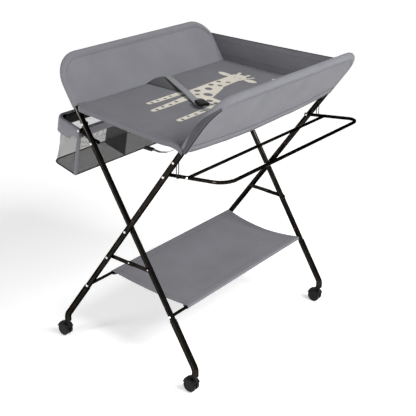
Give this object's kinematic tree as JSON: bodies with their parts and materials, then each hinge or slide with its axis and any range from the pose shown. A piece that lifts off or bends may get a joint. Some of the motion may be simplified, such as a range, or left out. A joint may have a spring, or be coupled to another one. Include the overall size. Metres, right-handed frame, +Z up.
{
  "type": "folding changing table",
  "caption": "Folding tubular changing table with grey fabric top, raised sides, shelf, drying rack, mesh side basket and swivel casters.",
  "frame": {"origin": "centre of the footprint box, on the floor", "axes": "+Z up, +Y along the lying direction towards the closed end, +X towards the drying rack"},
  "size_m": [0.7102, 0.83, 0.9729],
  "materials": {
    "frame_paint": "gloss black-brown",
    "bright_steel": "polished",
    "black_plastic": "matte",
    "wheel_black": "gloss",
    "grey_fabric": "fine woven",
    "grey_webbing": "woven webbing",
    "dark_mesh": "open mesh"
  },
  "bodies": {
    "outer_frame": {"outer_frame_tube": "frame_paint", "cross_pivot_bolt_near": "bright_steel", "cross_pivot_bolt_far": "bright_steel", "shelf_rod_left": "frame_paint", "rack_pivot_bolt_near": "bright_steel", "rack_pivot_bolt_far": "bright_steel", "wing_cover_right": "grey_fabric", "changing_surface": "grey_fabric", "shelf_sheet": "grey_fabric", "end_panel": "grey_fabric", "harness_strap_left": "grey_webbing", "harness_strap_right": "grey_webbing", "corner_strap": "grey_webbing", "corner_buckle": "black_plastic"},
    "inner_frame": {"inner_frame_tube": "frame_paint", "shelf_rod_right": "frame_paint", "basket_pivot_bolt_near": "bright_steel", "basket_pivot_bolt_far": "bright_steel", "wing_cover_left": "grey_fabric"},
    "outer_links": {"brace_outer_link_near": "frame_paint", "brace_outer_link_far": "frame_paint", "brace_middle_rivet_near": "bright_steel", "brace_middle_rivet_far": "bright_steel"},
    "inner_links": {"brace_inner_link_near": "frame_paint", "brace_inner_link_far": "frame_paint"},
    "rack": {"rack_frame": "frame_paint", "rack_bar": "frame_paint"},
    "rack_stays": {"rack_stay_near": "frame_paint", "rack_stay_far": "frame_paint"},
    "basket": {"basket_frame": "frame_paint", "basket_bar": "frame_paint", "basket_mesh": "dark_mesh", "basket_divider_near": "dark_mesh", "basket_divider_far": "dark_mesh", "basket_rim": "grey_fabric"},
    "basket_stays": {"basket_stay_near": "frame_paint", "basket_stay_far": "frame_paint"},
    "buckle_carry": {"buckle_socket": "black_plastic"},
    "buckle_plug_slide": {"buckle_plug": "black_plastic"},
    "lower_leg_outer_near": {"lower_leg_outer_near": "frame_paint"},
    "caster_fork_outer_near": {"caster_fork_outer_near": "black_plastic"},
    "caster_wheels_outer_near": {"caster_wheels_outer_near": "wheel_black"},
    "brake_lever_outer_near": {"brake_lever_outer_near": "black_plastic"},
    "lower_leg_outer_far": {"lower_leg_outer_far": "frame_paint"},
    "caster_fork_outer_far": {"caster_fork_outer_far": "black_plastic"},
    "caster_wheels_outer_far": {"caster_wheels_outer_far": "wheel_black"},
    "brake_lever_outer_far": {"brake_lever_outer_far": "black_plastic"},
    "lower_leg_inner_near": {"lower_leg_inner_near": "frame_paint"},
    "caster_fork_inner_near": {"caster_fork_inner_near": "black_plastic"},
    "caster_wheels_inner_near": {"caster_wheels_inner_near": "wheel_black"},
    "brake_lever_inner_near": {"brake_lever_inner_near": "black_plastic"},
    "lower_leg_inner_far": {"lower_leg_inner_far": "frame_paint"},
    "caster_fork_inner_far": {"caster_fork_inner_far": "black_plastic"},
    "caster_wheels_inner_far": {"caster_wheels_inner_far": "wheel_black"},
    "brake_lever_inner_far": {"brake_lever_inner_far": "black_plastic"}
  },
  "joints": [
    {"name": "frame_fold", "type": "hinge", "parent": "outer_frame", "child": "inner_frame", "pos_m": [-0.0062, 0, 0.4864], "axis": [0, 1, 0], "range_deg": [0, 51], "deforming": ["changing_surface", "shelf_sheet", "end_panel", "harness_strap_left", "harness_strap_right", "corner_strap"]},
    {"name": "brace_outer_fold", "type": "hinge", "parent": "outer_frame", "child": "outer_links", "pos_m": [-0.08254, 0, 0.3716], "axis": [0, -1, 0], "range_deg": [0, 50]},
    {"name": "brace_inner_fold", "type": "hinge", "parent": "inner_frame", "child": "inner_links", "pos_m": [0.07014, 0, 0.3716], "axis": [0, 1, 0], "range_deg": [0, 50]},
    {"name": "rack_fold", "type": "hinge", "parent": "outer_frame", "child": "rack", "pos_m": [0.14316, 0, 0.711], "axis": [0, -1, 0], "range_deg": [0, 36]},
    {"name": "rack_stay_swing", "type": "hinge", "parent": "outer_frame", "child": "rack_stays", "pos_m": [0.17915, 0, 0.76513], "axis": [0, 1, 0], "range_deg": [0, 19.5]},
    {"name": "basket_fold", "type": "hinge", "parent": "inner_frame", "child": "basket", "pos_m": [-0.1672, 0, 0.7285], "axis": [0, 1, 0], "range_deg": [0, 30]},
    {"name": "basket_stay_swing", "type": "hinge", "parent": "inner_frame", "child": "basket_stays", "pos_m": [-0.20319, 0, 0.78263], "axis": [0, -1, 0], "range_deg": [0, 17.6]},
    {"name": "buckle_follow", "type": "hinge", "parent": "outer_frame", "child": "buckle_carry", "pos_m": [0.1393, 0, 1.2436], "axis": [0, -1, 0], "range_deg": [0, 19]},
    {"name": "buckle_release", "type": "slide", "parent": "buckle_carry", "child": "buckle_plug_slide", "axis": [0.8988, -0.4384, 0], "range_m": [0, 0.03]},
    {"name": "leg_slide_outer_near", "type": "slide", "parent": "outer_frame", "child": "lower_leg_outer_near", "axis": [-0.5537, 0, -0.8327], "range_m": [0, 0.05]},
    {"name": "caster_swivel_outer_near", "type": "hinge", "parent": "lower_leg_outer_near", "child": "caster_fork_outer_near", "pos_m": [-0.27446, -0.4, 0.05], "axis": [0, 0, 1], "continuous": true},
    {"name": "wheel_spin_outer_near", "type": "hinge", "parent": "caster_fork_outer_near", "child": "caster_wheels_outer_near", "pos_m": [-0.28846, -0.4, 0.0225], "axis": [0, 1, 0], "continuous": true},
    {"name": "brake_press_outer_near", "type": "hinge", "parent": "caster_fork_outer_near", "child": "brake_lever_outer_near", "pos_m": [-0.31326, -0.4, 0.03354], "axis": [0, -1, 0], "range_deg": [0, 20]},
    {"name": "leg_slide_outer_far", "type": "slide", "parent": "outer_frame", "child": "lower_leg_outer_far", "axis": [-0.5537, 0, -0.8327], "range_m": [0, 0.05]},
    {"name": "caster_swivel_outer_far", "type": "hinge", "parent": "lower_leg_outer_far", "child": "caster_fork_outer_far", "pos_m": [-0.27446, 0.4, 0.05], "axis": [0, 0, 1], "continuous": true},
    {"name": "wheel_spin_outer_far", "type": "hinge", "parent": "caster_fork_outer_far", "child": "caster_wheels_outer_far", "pos_m": [-0.28846, 0.4, 0.0225], "axis": [0, 1, 0], "continuous": true},
    {"name": "brake_press_outer_far", "type": "hinge", "parent": "caster_fork_outer_far", "child": "brake_lever_outer_far", "pos_m": [-0.31326, 0.4, 0.03354], "axis": [0, -1, 0], "range_deg": [0, 20]},
    {"name": "leg_slide_inner_near", "type": "slide", "parent": "inner_frame", "child": "lower_leg_inner_near", "axis": [0.5537, 0, -0.8327], "range_m": [0, 0.05]},
    {"name": "caster_swivel_inner_near", "type": "hinge", "parent": "lower_leg_inner_near", "child": "caster_fork_inner_near", "pos_m": [0.26206, -0.376, 0.05], "axis": [0, 0, 1], "continuous": true},
    {"name": "wheel_spin_inner_near", "type": "hinge", "parent": "caster_fork_inner_near", "child": "caster_wheels_inner_near", "pos_m": [0.24806, -0.376, 0.0225], "axis": [0, 1, 0], "continuous": true},
    {"name": "brake_press_inner_near", "type": "hinge", "parent": "caster_fork_inner_near", "child": "brake_lever_inner_near", "pos_m": [0.22326, -0.376, 0.03354], "axis": [0, -1, 0], "range_deg": [0, 20]},
    {"name": "leg_slide_inner_far", "type": "slide", "parent": "inner_frame", "child": "lower_leg_inner_far", "axis": [0.5537, 0, -0.8327], "range_m": [0, 0.05]},
    {"name": "caster_swivel_inner_far", "type": "hinge", "parent": "lower_leg_inner_far", "child": "caster_fork_inner_far", "pos_m": [0.26206, 0.376, 0.05], "axis": [0, 0, 1], "continuous": true},
    {"name": "wheel_spin_inner_far", "type": "hinge", "parent": "caster_fork_inner_far", "child": "caster_wheels_inner_far", "pos_m": [0.24806, 0.376, 0.0225], "axis": [0, 1, 0], "continuous": true},
    {"name": "brake_press_inner_far", "type": "hinge", "parent": "caster_fork_inner_far", "child": "brake_lever_inner_far", "pos_m": [0.22326, 0.376, 0.03354], "axis": [0, -1, 0], "range_deg": [0, 20]}
  ],
  "couplings": [
    {"joint": "brace_outer_fold", "follows": "frame_fold", "ratio": 0.9765},
    {"joint": "brace_inner_fold", "follows": "frame_fold", "ratio": 0.9765},
    {"joint": "buckle_follow", "follows": "frame_fold", "ratio": 0.3725},
    {"joint": "rack_stay_swing", "follows": "rack_fold", "ratio": 0.539},
    {"joint": "basket_stay_swing", "follows": "basket_fold", "ratio": 0.585}
  ]
}
